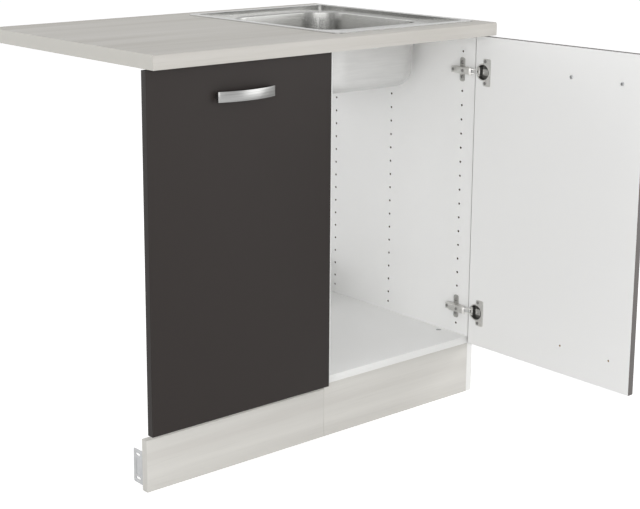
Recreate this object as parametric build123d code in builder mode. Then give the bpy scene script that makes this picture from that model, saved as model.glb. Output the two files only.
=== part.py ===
from build123d import *
import math
import os

# Kitchen sink unit, in millimetres. A sink cabinet stands with its door open at the right, and the
# front of a dishwasher bay at its left, both under one worktop. X runs to the right along the
# worktop, -Y points into the room and Z is up. The origin is on the floor, under the middle of the
# sink cabinet and of its plinth board's thickness.

os.makedirs("parts", exist_ok=True)

# overall sizes
unit_width = 900.0
unit_depth = 600.0
unit_height = 848.0
cabinet_width = 450.0
carcass_depth = 510.0
board = 16.0
plinth_height = 116.0
bay_plinth_height = 105.5
bay_plinth_gap = 0.5

# worktop
worktop_thickness = 28.0
worktop_overhang = 44.5
worktop_nose_radius = 4.0
edge_strip = 0.8

# sink: rim, sunk ledge and one bowl, pressed from one sheet
sink_width = 406.0
sink_depth = 512.0
sink_end_margin = 16.0
sink_front_margin = 46.0
sheet = 1.0
rim_height = 2.0
rim_radius = 20.0
rim_edge_radius = 0.8
rim_land = 18.0
rim_lip = 1.2
ledge_drop = 10.0
ledge_radius = 14.0
bowl_width = 308.0
bowl_length = 353.0
bowl_right_margin = 13.0
bowl_back_margin = 26.0
bowl_drop = 142.0
bowl_radius = 75.0
bowl_draft = 3.0
bowl_floor_radius = 35.0
bowl_edge_radius = 4.0
cutout_gap = 3.0

# waste in the bowl's floor
waste_setback = 42.5
waste_hole = 26.0
strainer_radius = 35.0
strainer_dish = 22.0
strainer_dish_depth = 8.0
strainer_sheet = 1.2
tail_radius = 20.0
tail_bore = 17.5
tail_length = 22.0
waste_drop = 50.0
waste_screw = 3.0

# rows of shelf-pin holes
pin_hole = 2.5
pin_hole_depth = 12.0
pin_pitch = 32.0
pin_columns = (37.0, 261.0, 453.0)
pin_end_offset = 24.0

# fronts
front_side_reveal = 2.0
front_top_gap = 3.0
front_bottom_gap = 1.0
front_edge_radius = 0.8
door_gap = 2.0
handle_drop = 62.0
handle_pitch = 128.0
handle_edge_distance = 53.0
handle_hole = 2.25

# bow handle
handle_length = 136.5
handle_height = 20.0
handle_strip = 3.0
handle_end_reach = 11.0
handle_reach = 24.0
handle_leg = 4.0
handle_screw_hole = 2.0

# cup hinges
hinge_inset = 78.0
open_door_setback = 3.0
open_door_forward = 4.0
cup_radius = 17.5
cup_wall = 0.8
cup_depth = 11.5
cup_inset = 22.0
cup_flange = 0.8
flange_width = 22.0
flange_height = 60.0
cup_screw_pitch = 48.0
cup_screw_offset = 6.0
pin_radius = 1.5
pin_fit = 0.05
arm_pivot_inset = 13.0
arm_pivot_depth = 3.0
cup_pivot_swing = 7.5
arm_width = 14.0
arm_sheet = 1.5
link_width = 3.6
link_eye = 2.15
plate_inset = 37.0
plate_sheet = 2.0
plate_height = 53.0
plate_width = 14.0
plate_screw_pitch = 32.0

# carcass fittings
cam_radius = 6.0
cam_height = 12.0
cam_setback = 16.0
cam_front = 75.5
cam_bolt = 3.0
dowel_radius = 4.0
dowel_length = 30.0
dowel_in_side = 10.0
hole_slack = 0.1
rail_height = 100.0
rail_drop = 28.0

# angle brackets
angle_sheet = 1.5
plinth_bracket_height = 69.0
plinth_bracket_lift = 10.0
plinth_bracket_leg = 29.5
slot_length = 14.0
slot_width = 5.0
slot_pitch = 48.5

# where everything stands
cabinet_left = -cabinet_width / 2
cabinet_right = cabinet_width / 2
inner_left = cabinet_left + board
inner_right = cabinet_right - board
carcass_front = -board / 2
carcass_back = carcass_front + carcass_depth
carcass_top = unit_height - worktop_thickness
worktop_left = cabinet_right - unit_width
worktop_front = carcass_front - worktop_overhang
worktop_back = worktop_front + unit_depth
floor_panel_top = plinth_height + board

front_bottom = plinth_height + front_bottom_gap
front_top = carcass_top - front_top_gap
door_width = cabinet_width - 2 * front_side_reveal
closed_inner_face = carcass_front - door_gap
handle_z = front_top - handle_drop
spare_handle_z = front_bottom + handle_drop

lower_hinge_z = front_bottom + hinge_inset
hinge_steps = round((front_top - hinge_inset - lower_hinge_z) // pin_pitch)
upper_hinge_z = lower_hinge_z + hinge_steps * pin_pitch
hinge_heights = {"upper": upper_hinge_z, "lower": lower_hinge_z}

rim_right = cabinet_right - sink_end_margin
rim_front = worktop_front + sink_front_margin
sink_x = rim_right - sink_width / 2
sink_y = rim_front + sink_depth / 2
rim_top = unit_height + rim_height
ledge_z = rim_top - ledge_drop
bowl_z = ledge_z - bowl_drop
bowl_x = rim_right - rim_land - bowl_right_margin - bowl_width / 2
bowl_y = rim_front + sink_depth - rim_land - bowl_back_margin - bowl_length / 2
waste_x = bowl_x
waste_y = bowl_y + waste_setback
ledge_width = sink_width - 2 * rim_land
ledge_length = sink_depth - 2 * rim_land

# The door turns by a quarter about the pole, the one point that lies alike in the open and in the
# closed door. The link's pivot in the cup lies on a circle about the pole, an eighth of a turn to
# each side of the arm's pivot, so that the link is as long with the door open as with it closed.
open_face_x = inner_right - open_door_setback
open_edge_y = carcass_front - open_door_forward
closed_edge_x = cabinet_right - front_side_reveal
face_sum = open_face_x + closed_inner_face
edge_gap = closed_edge_x - open_edge_y
pole_x = (face_sum + edge_gap) / 2
pole_y = (face_sum - edge_gap) / 2
arm_pivot_x = inner_right - arm_pivot_inset
arm_pivot_y = carcass_front + arm_pivot_depth
pole_angle = math.atan2(arm_pivot_y - pole_y, arm_pivot_x - pole_x)
closed_cup_x = pole_x + cup_pivot_swing * math.cos(pole_angle - math.pi / 4)
closed_cup_y = pole_y + cup_pivot_swing * math.sin(pole_angle - math.pi / 4)
cup_pivot_x = pole_x + cup_pivot_swing * math.cos(pole_angle + math.pi / 4)
cup_pivot_y = pole_y + cup_pivot_swing * math.sin(pole_angle + math.pi / 4)
link_length = math.hypot(cup_pivot_x - arm_pivot_x, cup_pivot_y - arm_pivot_y)
link_angle = math.degrees(math.atan2(cup_pivot_y - arm_pivot_y, cup_pivot_x - arm_pivot_x))
closed_link_angle = math.degrees(math.atan2(closed_cup_y - arm_pivot_y, closed_cup_x - arm_pivot_x))
link_ratio = (link_angle - closed_link_angle) / 90


def middle(span):
    return (span[0] + span[1]) / 2


def length(span):
    return span[1] - span[0]


# A straight-edged block between two limits on each axis.
def block(x_span, y_span, z_span, mode=Mode.ADD):
    with Locations((middle(x_span), middle(y_span), middle(z_span))):
        Box(length(x_span), length(y_span), length(z_span), mode=mode)


def rounded_block(x_span, y_span, z_span, radius, mode=Mode.ADD):
    with BuildSketch(Plane.XY.offset(z_span[0])) as outline:
        with Locations((middle(x_span), middle(y_span))):
            RectangleRounded(length(x_span), length(y_span), radius)
    extrude(outline.sketch, amount=length(z_span), mode=mode)


# A plane on a flat face: its normal points along the direction, and its own X stays level.
def face_plane(origin, direction):
    across = (-direction[1], direction[0], 0) if direction[2] == 0 else (1, 0, 0)
    return Plane(origin=origin, x_dir=across, z_dir=direction)


def rod(plane, radius, reach, mode=Mode.ADD):
    with BuildSketch(plane) as section:
        Circle(radius)
    extrude(section.sketch, amount=reach, mode=mode)


# A pan-head screw whose head stands on the plane and whose shank runs back behind it.
def pan_screw(plane, head, head_height, shank, reach):
    rod(plane, head, head_height)
    rod(plane, shank, -reach)


def save(piece, name):
    piece.part.label = name
    export_step(piece.part, f"parts/{name}.step")


# A screw's own hole, from the face that its head stands on.
def drill_screws(sites, shank, reach):
    for origin, direction in sites:
        rod(face_plane(origin, direction), shank + hole_slack, -reach, mode=Mode.SUBTRACT)


# Both ends of a board that spans the cabinet, each with its inward direction.
cabinet_ends = ((inner_left, (1, 0, 0)), (inner_right, (-1, 0, 0)))

# ---- screws that hold the worktop's and the plinth's brackets ----
bracket_screw = 2.0
bracket_head = 3.6
bracket_head_height = 1.6
bracket_screw_length = 12.0
bracket_screw_inset = 7.0
drill_point = 1.0
angle_leg = 25.0
angle_foot = 12.0
angle_width = 15.0
angle_columns = (298.0, 448.0)
angle_rows = [carcass_front + column for column in angle_columns]
angle_wall_z = carcass_top - angle_leg + bracket_screw_inset
angle_wall_sites = {
    end_x: [((end_x + inward[0] * angle_sheet, row, angle_wall_z), inward) for row in angle_rows]
    for end_x, inward in cabinet_ends
}
angle_foot_z = carcass_top - angle_sheet
angle_foot_sites = [
    ((end_x + inward[0] * bracket_screw_inset, row, angle_foot_z), (0, 0, -1))
    for end_x, inward in cabinet_ends
    for row in angle_rows
]
plinth_back = carcass_front + board
slot_y = plinth_back + plinth_bracket_leg / 2
slot_low_z = plinth_bracket_lift + (plinth_bracket_height - slot_pitch) / 2
slot_heights = (slot_low_z, slot_low_z + slot_pitch)
plinth_walls = ((worktop_left, 1), (cabinet_left, -1))
plinth_bracket_foot = 25.0
plinth_screw_inset = 15.0
plinth_sites = [
    ((wall_x + inward * plinth_screw_inset, plinth_back + angle_sheet, height), (0, 1, 0))
    for wall_x, inward in plinth_walls
    for height in slot_heights
]
side_sites = [((cabinet_left - angle_sheet, slot_y, height), (-1, 0, 0)) for height in slot_heights]


# ---- worktop ----
def worktop_section(x):
    with BuildSketch(Plane.YZ.offset(x)) as section:
        with Locations(((worktop_front + worktop_back) / 2, (carcass_top + unit_height) / 2)):
            Rectangle(unit_depth, worktop_thickness)
        nose = section.vertices().sort_by(Axis.X)[:2].sort_by(Axis.Y)[-1]
        fillet(nose, worktop_nose_radius)
    return section.sketch


cutout_x = (sink_x - ledge_width / 2 - sheet - cutout_gap, sink_x + ledge_width / 2 + sheet + cutout_gap)
cutout_y = (sink_y - ledge_length / 2 - sheet - cutout_gap, sink_y + ledge_length / 2 + sheet + cutout_gap)

with BuildPart() as worktop:
    extrude(worktop_section(worktop_left + edge_strip), amount=unit_width - 2 * edge_strip)
    cutout_radius = ledge_radius + sheet + cutout_gap
    rounded_block(cutout_x, cutout_y, (carcass_top, unit_height), cutout_radius, mode=Mode.SUBTRACT)
    drill_screws(angle_foot_sites, bracket_screw, bracket_screw_length + drill_point)
save(worktop, "worktop")

with BuildPart() as worktop_end_strips:
    for strip_x in (worktop_left, cabinet_right - edge_strip):
        extrude(worktop_section(strip_x), amount=edge_strip)
save(worktop_end_strips, "worktop_end_strips")


# ---- sink ----
# The sunk ledge and the bowl under it as one form, grown outwards by the sheet for the outer skin.
def sink_form(grow, top):
    with BuildPart() as form:
        with BuildSketch(Plane.XY.offset(ledge_z - grow)):
            with Locations((bowl_x, bowl_y)):
                RectangleRounded(bowl_width + 2 * grow, bowl_length + 2 * grow, bowl_radius + grow)
        extrude(amount=-bowl_drop, taper=bowl_draft)
        fillet(form.edges().group_by(Axis.Z)[0], bowl_floor_radius + grow)
        with BuildSketch(Plane.XY.offset(ledge_z - grow)):
            with Locations((sink_x, sink_y)):
                RectangleRounded(ledge_width + 2 * grow, ledge_length + 2 * grow, ledge_radius + grow)
        extrude(amount=top - ledge_z + grow)
        bowl_rim = form.edges().filter_by_position(Axis.Z, ledge_z - grow - sheet, ledge_z - grow + sheet)
        bowl_rim = bowl_rim.filter_by(
            lambda edge: abs(edge.center().X - bowl_x) < bowl_width / 2 + 2 * sheet
            and abs(edge.center().Y - bowl_y) < bowl_length / 2 + 2 * sheet
        )
        fillet(bowl_rim, bowl_edge_radius - grow)
    return form.part


rim_x = (sink_x - sink_width / 2, sink_x + sink_width / 2)
rim_y = (sink_y - sink_depth / 2, sink_y + sink_depth / 2)
outer_form = sink_form(sheet, unit_height)
inner_form = sink_form(0, rim_top)

with BuildPart() as sink_bowl:
    rounded_block(rim_x, rim_y, (unit_height, rim_top), rim_radius)
    fillet(sink_bowl.edges().group_by(Axis.Z)[-1], rim_edge_radius)
    lip_x = (rim_x[0] + rim_lip, rim_x[1] - rim_lip)
    lip_y = (rim_y[0] + rim_lip, rim_y[1] - rim_lip)
    rounded_block(
        lip_x, lip_y, (unit_height, rim_top - sheet), rim_radius - rim_lip, mode=Mode.SUBTRACT
    )
    ledge_x = (sink_x - ledge_width / 2 - sheet, sink_x + ledge_width / 2 + sheet)
    ledge_y = (sink_y - ledge_length / 2 - sheet, sink_y + ledge_length / 2 + sheet)
    rounded_block(ledge_x, ledge_y, (unit_height, rim_top - sheet), ledge_radius + sheet)
    add(outer_form)
    add(inner_form, mode=Mode.SUBTRACT)
    with Locations((waste_x, waste_y, bowl_z)):
        Cylinder(waste_hole, 4 * sheet, mode=Mode.SUBTRACT)
save(sink_bowl, "sink_bowl")

seal_clearance = 0.5
seal_width = 8.0
seal_height = rim_height - sheet

with BuildPart() as sink_seal:
    seal_x = (lip_x[0] + seal_clearance, lip_x[1] - seal_clearance)
    seal_y = (lip_y[0] + seal_clearance, lip_y[1] - seal_clearance)
    seal_z = (unit_height, unit_height + seal_height)
    seal_radius = rim_radius - rim_lip - seal_clearance
    rounded_block(seal_x, seal_y, seal_z, seal_radius)
    hole_x = (seal_x[0] + seal_width, seal_x[1] - seal_width)
    hole_y = (seal_y[0] + seal_width, seal_y[1] - seal_width)
    rounded_block(hole_x, hole_y, seal_z, seal_radius - seal_width / 2, mode=Mode.SUBTRACT)
save(sink_seal, "sink_seal")

# Clips hang under the ledge in the cut-out, and their screws press up against the worktop.
clip_sheet = 1.5
clip_width = 14.0
clip_seat = 16.0
clip_foot = 15.0
clip_foot_drop = 5.5
clip_screw_setback = 5.0
clip_screw = 2.5
clip_wall_gap = 0.8
clip_places = [
    ((sink_x - ledge_width / 4, ledge_y[0]), (0, -1, 0)),
    ((sink_x + ledge_width / 4, ledge_y[0]), (0, -1, 0)),
    ((sink_x - ledge_width / 4, ledge_y[1]), (0, 1, 0)),
    ((sink_x + ledge_width / 4, ledge_y[1]), (0, 1, 0)),
    ((ledge_x[0], sink_y - ledge_length / 4), (-1, 0, 0)),
    ((ledge_x[0], sink_y + ledge_length / 4), (-1, 0, 0)),
]


# A clip's own section plane: its X points out under the worktop, its Y up, its origin on the ledge's wall.
def clip_plane(place, outward):
    origin = (place[0], place[1], ledge_z - sheet)
    along = (outward[1], -outward[0], 0)
    return Plane(origin=origin, x_dir=outward, z_dir=along)


with BuildPart() as sink_clips:
    foot_z = carcass_top - clip_foot_drop - (ledge_z - sheet)
    leg_x = clip_wall_gap + clip_sheet
    for place, outward in clip_places:
        with BuildSketch(clip_plane(place, outward).offset(-clip_width / 2)) as clip_section:
            with BuildLine():
                Polyline(
                    (-clip_seat, 0),
                    (leg_x, 0),
                    (leg_x, foot_z + clip_sheet),
                    (clip_foot, foot_z + clip_sheet),
                    (clip_foot, foot_z),
                    (clip_wall_gap, foot_z),
                    (clip_wall_gap, -clip_sheet),
                    (-clip_seat, -clip_sheet),
                    close=True,
                )
            make_face()
        extrude(clip_section.sketch, amount=clip_width)
        foot_hole = clip_plane(place, outward)
        hole_origin = foot_hole.from_local_coords((clip_foot - clip_screw_setback, foot_z))
        rod(face_plane(hole_origin, (0, 0, 1)), clip_screw + hole_slack, clip_sheet, mode=Mode.SUBTRACT)
save(sink_clips, "sink_clips")

clip_screw_head = 4.5
clip_screw_head_height = 2.5
clip_screw_tail = 1.0

with BuildPart() as sink_clip_screws:
    for place, outward in clip_places:
        foot_hole = clip_plane(place, outward)
        tip = foot_hole.from_local_coords((clip_foot - clip_screw_setback, foot_z))
        head_z = carcass_top - clip_foot_drop - clip_screw_tail
        rod(face_plane((tip.X, tip.Y, carcass_top), (0, 0, -1)), clip_screw, carcass_top - head_z)
        rod(face_plane((tip.X, tip.Y, head_z), (0, 0, -1)), clip_screw_head, clip_screw_head_height)
save(sink_clip_screws, "sink_clip_screws")

# ---- waste ----
strainer_rim = 1.5
grid_hole = 2.5
grid_circle = 13.0
grid_count = 8
dish_floor_z = bowl_z - strainer_dish_depth

with BuildPart() as drain_flange:
    with BuildSketch(Plane.XZ) as flange_half:
        with BuildLine():
            Polyline(
                (waste_screw + hole_slack, dish_floor_z),
                (strainer_dish, dish_floor_z),
                (strainer_dish, bowl_z),
                (strainer_radius, bowl_z),
                (strainer_radius - strainer_rim, bowl_z + strainer_rim),
                (strainer_dish - strainer_sheet, bowl_z + strainer_rim),
                (strainer_dish - strainer_sheet, dish_floor_z + strainer_sheet),
                (waste_screw + hole_slack, dish_floor_z + strainer_sheet),
                close=True,
            )
        make_face()
    revolve(axis=Axis.Z)
    with PolarLocations(grid_circle, grid_count):
        with Locations((0, 0, dish_floor_z)):
            Cylinder(grid_hole, 4 * strainer_sheet, mode=Mode.SUBTRACT)
drain_flange.part = drain_flange.part.moved(Location((waste_x, waste_y, 0)))
save(drain_flange, "drain_flange")

washer_width = 7.0
washer_height = 3.0
washer_gap = 1.0
washer_top = bowl_z - sheet

with BuildPart() as drain_seal:
    with BuildSketch(Plane.XY.offset(washer_top - washer_height)):
        with Locations((waste_x, waste_y)):
            Circle(waste_hole + washer_width)
            Circle(waste_hole + washer_gap, mode=Mode.SUBTRACT)
    extrude(amount=washer_height)
save(drain_seal, "drain_seal")

body_wall = 2.5
body_rim = 3.0
cup_floor_z = bowl_z - waste_drop / 2
tail_z = bowl_z - waste_drop - tail_length / 2
body_top = washer_top - washer_height
spider_width = 5.0
spider_height = 10.0
spider_hub = 6.5

with BuildPart() as drain_body:
    with BuildSketch(Plane.XZ) as body_half:
        with BuildLine():
            Polyline(
                (tail_bore, tail_z),
                (tail_radius, tail_z),
                (tail_radius, tail_z + tail_length),
                (waste_hole + body_wall, cup_floor_z),
                (waste_hole + body_wall, body_top - body_rim),
                (waste_hole + washer_width, body_top - body_rim),
                (waste_hole + washer_width, body_top),
                (waste_hole, body_top),
                (waste_hole, cup_floor_z + body_wall),
                (tail_bore, tail_z + tail_length + body_wall),
                close=True,
            )
        make_face()
    revolve(axis=Axis.Z)
    hub_z = cup_floor_z + body_wall
    with Locations((0, 0, hub_z + spider_height / 2)):
        Cylinder(spider_hub, spider_height)
        Box(2 * waste_hole + body_wall, spider_width, spider_height)
        Box(spider_width, 2 * waste_hole + body_wall, spider_height)
        Cylinder(waste_screw + hole_slack, 2 * spider_height, mode=Mode.SUBTRACT)
drain_body.part = drain_body.part.moved(Location((waste_x, waste_y, 0)))
save(drain_body, "drain_body")

waste_head = 6.5
waste_head_height = 2.5

with BuildPart() as drain_screw:
    screw_plane = face_plane((waste_x, waste_y, dish_floor_z + strainer_sheet), (0, 0, 1))
    screw_reach = dish_floor_z + strainer_sheet - hub_z
    pan_screw(screw_plane, waste_head, waste_head_height, waste_screw, screw_reach)
save(drain_screw, "drain_screw")

# ---- carcass ----
pin_rows = [lower_hinge_z - plate_screw_pitch / 2 + step * pin_pitch for step in range(hinge_steps + 2)]
pin_rows = [pin_rows[0] - pin_end_offset] + pin_rows + [pin_rows[-1] + pin_end_offset]
pin_places = [(carcass_front + column, row) for column in pin_columns for row in pin_rows]
rail_y = (carcass_back - board, carcass_back)
top_rail_z = (carcass_top - rail_drop - rail_height, carcass_top - rail_drop)
bottom_rail_z = (floor_panel_top, floor_panel_top + rail_height)
dowel_places = [
    (carcass_front + cam_front + pin_pitch, plinth_height + board / 2),
    (carcass_back - cam_front - pin_pitch, plinth_height + board / 2),
    (middle(rail_y), middle(top_rail_z)),
    (middle(rail_y), middle(bottom_rail_z)),
]
cam_places = [carcass_front + cam_front, carcass_back - board - pin_pitch]
cam_z = floor_panel_top - board / 2
bolt_in_side = 9.0


# Holes for pins, dowels and cam bolts, sunk into a side from its inner face.
def drill_side(inner_x, into):
    for place_y, place_z in pin_places:
        rod(face_plane((inner_x, place_y, place_z), into), pin_hole, pin_hole_depth, mode=Mode.SUBTRACT)
    for place_y, place_z in dowel_places:
        dowel_plane = face_plane((inner_x, place_y, place_z), into)
        rod(dowel_plane, dowel_radius + hole_slack, dowel_in_side + drill_point, mode=Mode.SUBTRACT)
    for place_y in cam_places:
        bolt_plane = face_plane((inner_x, place_y, cam_z), into)
        rod(bolt_plane, cam_bolt + hole_slack, bolt_in_side + drill_point, mode=Mode.SUBTRACT)


with BuildPart() as side_left:
    block((cabinet_left, inner_left), (carcass_front, carcass_back), (0, carcass_top))
    block(
        (cabinet_left, inner_left),
        (carcass_front, carcass_front + board),
        (0, plinth_height),
        mode=Mode.SUBTRACT,
    )
    drill_side(inner_left, (-1, 0, 0))
    drill_screws(angle_wall_sites[inner_left], bracket_screw, bracket_screw_length + drill_point)
    drill_screws(side_sites, bracket_screw, bracket_screw_length + drill_point)
save(side_left, "side_left")

with BuildPart() as side_right:
    block((inner_right, cabinet_right), (carcass_front, carcass_back), (0, carcass_top))
    drill_side(inner_right, (1, 0, 0))
    drill_screws(angle_wall_sites[inner_right], bracket_screw, bracket_screw_length + drill_point)
save(side_right, "side_right")


dowel_in_board = dowel_length - dowel_in_side

with BuildPart() as bottom_panel:
    block((inner_left, inner_right), (carcass_front, carcass_back), (plinth_height, floor_panel_top))
    for end_x, inward in cabinet_ends:
        for place_y, place_z in dowel_places[:2]:
            dowel_plane = face_plane((end_x, place_y, place_z), inward)
            rod(dowel_plane, dowel_radius + hole_slack, dowel_in_board + drill_point, mode=Mode.SUBTRACT)
        for place_y in cam_places:
            bolt_plane = face_plane((end_x, place_y, cam_z), inward)
            rod(bolt_plane, cam_bolt + hole_slack, cam_setback, mode=Mode.SUBTRACT)
            cam_top = face_plane((end_x + inward[0] * cam_setback, place_y, floor_panel_top), (0, 0, 1))
            rod(cam_top, cam_radius + hole_slack, -cam_height, mode=Mode.SUBTRACT)
save(bottom_panel, "bottom_panel")


def rear_rail(z_span, name):
    with BuildPart() as rail:
        block((inner_left, inner_right), rail_y, z_span)
        for end_x, inward in cabinet_ends:
            dowel_plane = face_plane((end_x, middle(rail_y), middle(z_span)), inward)
            rod(dowel_plane, dowel_radius + hole_slack, dowel_in_board + drill_point, mode=Mode.SUBTRACT)
    save(rail, name)


rear_rail(top_rail_z, "rear_rail_top")
rear_rail(bottom_rail_z, "rear_rail_bottom")

with BuildPart() as dowels:
    for end_x, inward in cabinet_ends:
        for place_y, place_z in dowel_places:
            tip_x = end_x - inward[0] * dowel_in_side
            rod(face_plane((tip_x, place_y, place_z), inward), dowel_radius, dowel_length)
save(dowels, "dowels")

cam_slot_width = 1.6
cam_slot_depth = 1.5
cam_slot_margin = 1.0

with BuildPart() as cam_fittings:
    for end_x, inward in cabinet_ends:
        for place_y in cam_places:
            cam_x = end_x + inward[0] * cam_setback
            rod(face_plane((cam_x, place_y, floor_panel_top), (0, 0, 1)), cam_radius, -cam_height)
            cut_z = (floor_panel_top - cam_slot_depth, floor_panel_top)
            slot_reach = cam_radius - cam_slot_margin
            cut_x = (cam_x - slot_reach, cam_x + slot_reach)
            cut_y = (place_y - cam_slot_width / 2, place_y + cam_slot_width / 2)
            block(cut_x, cut_y, cut_z, mode=Mode.SUBTRACT)
save(cam_fittings, "cam_fittings")

with BuildPart() as cam_bolts:
    for end_x, inward in cabinet_ends:
        for place_y in cam_places:
            tip_x = end_x - inward[0] * bolt_in_side
            bolt_length = bolt_in_side + cam_setback - cam_radius - 2 * hole_slack
            rod(face_plane((tip_x, place_y, cam_z), inward), cam_bolt, bolt_length)
save(cam_bolts, "cam_bolts")

with BuildPart() as cabinet_plinth:
    block((cabinet_left, inner_right), (carcass_front, carcass_front + board), (0, plinth_height))
save(cabinet_plinth, "cabinet_plinth")

bay_plinth_x = (worktop_left, cabinet_left - bay_plinth_gap)

with BuildPart() as bay_plinth:
    block(bay_plinth_x, (carcass_front, plinth_back), (0, bay_plinth_height))
    drill_screws(plinth_sites, bracket_screw, bracket_screw_length + drill_point)
save(bay_plinth, "bay_plinth")

# ---- brackets ----
with BuildPart() as worktop_brackets:
    for end_x, inward in cabinet_ends:
        for column in angle_columns:
            corner = Plane(
                origin=(end_x, carcass_front + column - inward[0] * angle_width / 2, carcass_top),
                x_dir=inward,
                z_dir=(0, inward[0], 0),
            )
            with BuildSketch(corner) as angle_section:
                with BuildLine():
                    Polyline(
                        (0, 0),
                        (angle_foot, 0),
                        (angle_foot, angle_sheet),
                        (angle_sheet, angle_sheet),
                        (angle_sheet, angle_leg),
                        (0, angle_leg),
                        close=True,
                    )
                make_face()
            extrude(angle_section.sketch, amount=angle_width)
        drill_screws(angle_wall_sites[end_x], bracket_screw, 2 * angle_sheet)
    drill_screws(angle_foot_sites, bracket_screw, 2 * angle_sheet)
save(worktop_brackets, "worktop_brackets")

panel_width = 16.0
panel_margin = 6.5
panel_depth = 0.8
panel_wall = 1.0
leg_corner = 3.0


# An angle of sheet on the back of the bay's plinth board. Its slotted leg stands against the
# neighbour's side, with a pressed panel between the slots.
def plinth_bracket(wall_x, inward, name):
    bracket_z = (plinth_bracket_lift, plinth_bracket_lift + plinth_bracket_height)
    leg_x = sorted((wall_x, wall_x + inward * angle_sheet))
    leg_y = (plinth_back, plinth_back + plinth_bracket_leg)
    foot_x = sorted((wall_x, wall_x + inward * plinth_bracket_foot))
    with BuildPart() as bracket:
        block(leg_x, leg_y, bracket_z)
        fillet(bracket.edges().filter_by(Axis.X).group_by(Axis.Y)[-1], leg_corner)
        block(foot_x, (plinth_back, plinth_back + angle_sheet), bracket_z)
        for height in slot_heights:
            slot_plane = Plane(origin=(wall_x, slot_y, height), x_dir=(0, 1, 0), z_dir=(inward, 0, 0))
            with BuildSketch(slot_plane) as slot:
                SlotOverall(slot_length, slot_width)
            extrude(slot.sketch, amount=2 * angle_sheet, mode=Mode.SUBTRACT)
        panel_y = (slot_y - panel_width / 2, slot_y + panel_width / 2)
        panel_z = (slot_heights[0] + panel_margin, slot_heights[1] - panel_margin)
        block(sorted((wall_x, wall_x + inward * (angle_sheet + panel_depth))), panel_y, panel_z)
        hollow_y = (panel_y[0] + panel_wall, panel_y[1] - panel_wall)
        hollow_z = (panel_z[0] + panel_wall, panel_z[1] - panel_wall)
        block(sorted((wall_x, wall_x + inward * panel_depth)), hollow_y, hollow_z, mode=Mode.SUBTRACT)
        drill_screws(plinth_sites, bracket_screw, 2 * angle_sheet)
    save(bracket, name)


plinth_bracket(worktop_left, 1, "plinth_bracket_left")
plinth_bracket(cabinet_left, -1, "plinth_bracket_right")

with BuildPart() as bracket_screws:
    wall_sites = angle_wall_sites[inner_left] + angle_wall_sites[inner_right]
    for origin, direction in wall_sites + angle_foot_sites + plinth_sites + side_sites:
        site_plane = face_plane(origin, direction)
        pan_screw(site_plane, bracket_head, bracket_head_height, bracket_screw, bracket_screw_length)
save(bracket_screws, "bracket_screws")

# ---- cup hinges ----
plate_y = carcass_front + plate_inset
plate_length = 44.0
plate_spine = 10.4
plate_boss = 9.0
plate_corner = 5.0
plate_back_reach = 21.0
plate_screw = 2.45
plate_screw_head = 4.0
plate_screw_head_height = 2.0
plate_screw_length = 11.0
seat_gap = 0.3
arm_gap = 0.5
arm_face_x = arm_pivot_x - link_eye - arm_gap - arm_sheet
arm_back = plate_y + plate_back_reach + arm_sheet
arm_root_x = inner_right - plate_sheet - arm_gap
arm_nose = 3.4
arm_rise = 14.0
arm_tongue = 10.0
arm_tongue_step = 4.0
arm_screw = 2.0
arm_screw_head = 3.4
arm_screw_head_height = 1.6
front_screw_inset = 22.0
front_screw_y = carcass_front + front_screw_inset
rear_screw_y = arm_back - arm_tongue / 2
boss_x = inner_right - plate_boss
channel = arm_width / 2 - arm_sheet


def hinge_plate(height, name):
    with BuildPart() as plate:
        seat = face_plane((inner_right, plate_y, height), (-1, 0, 0))
        with BuildSketch(seat):
            RectangleRounded(plate_width, plate_height, plate_corner)
            with Locations((plate_length / 2 - plate_back_reach - plate_width / 2, 0)):
                Rectangle(plate_length, plate_spine)
        extrude(amount=plate_sheet)
        boss_y = (plate_y + plate_back_reach - plate_length + plate_width / 2, plate_y + plate_back_reach)
        spine_z = (height - plate_spine / 2, height + plate_spine / 2)
        block((boss_x, inner_right - plate_sheet), boss_y, spine_z)
        for row in (height - plate_screw_pitch / 2, height + plate_screw_pitch / 2):
            screw_hole = face_plane((inner_right, plate_y, row), (-1, 0, 0))
            rod(screw_hole, pin_hole, plate_sheet, mode=Mode.SUBTRACT)
        for screw_y in (front_screw_y, rear_screw_y):
            screw_seat = face_plane((boss_x, screw_y, height), (-1, 0, 0))
            rod(screw_seat, arm_screw + hole_slack, -plate_boss / 2, mode=Mode.SUBTRACT)
    save(plate, name)


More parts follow.
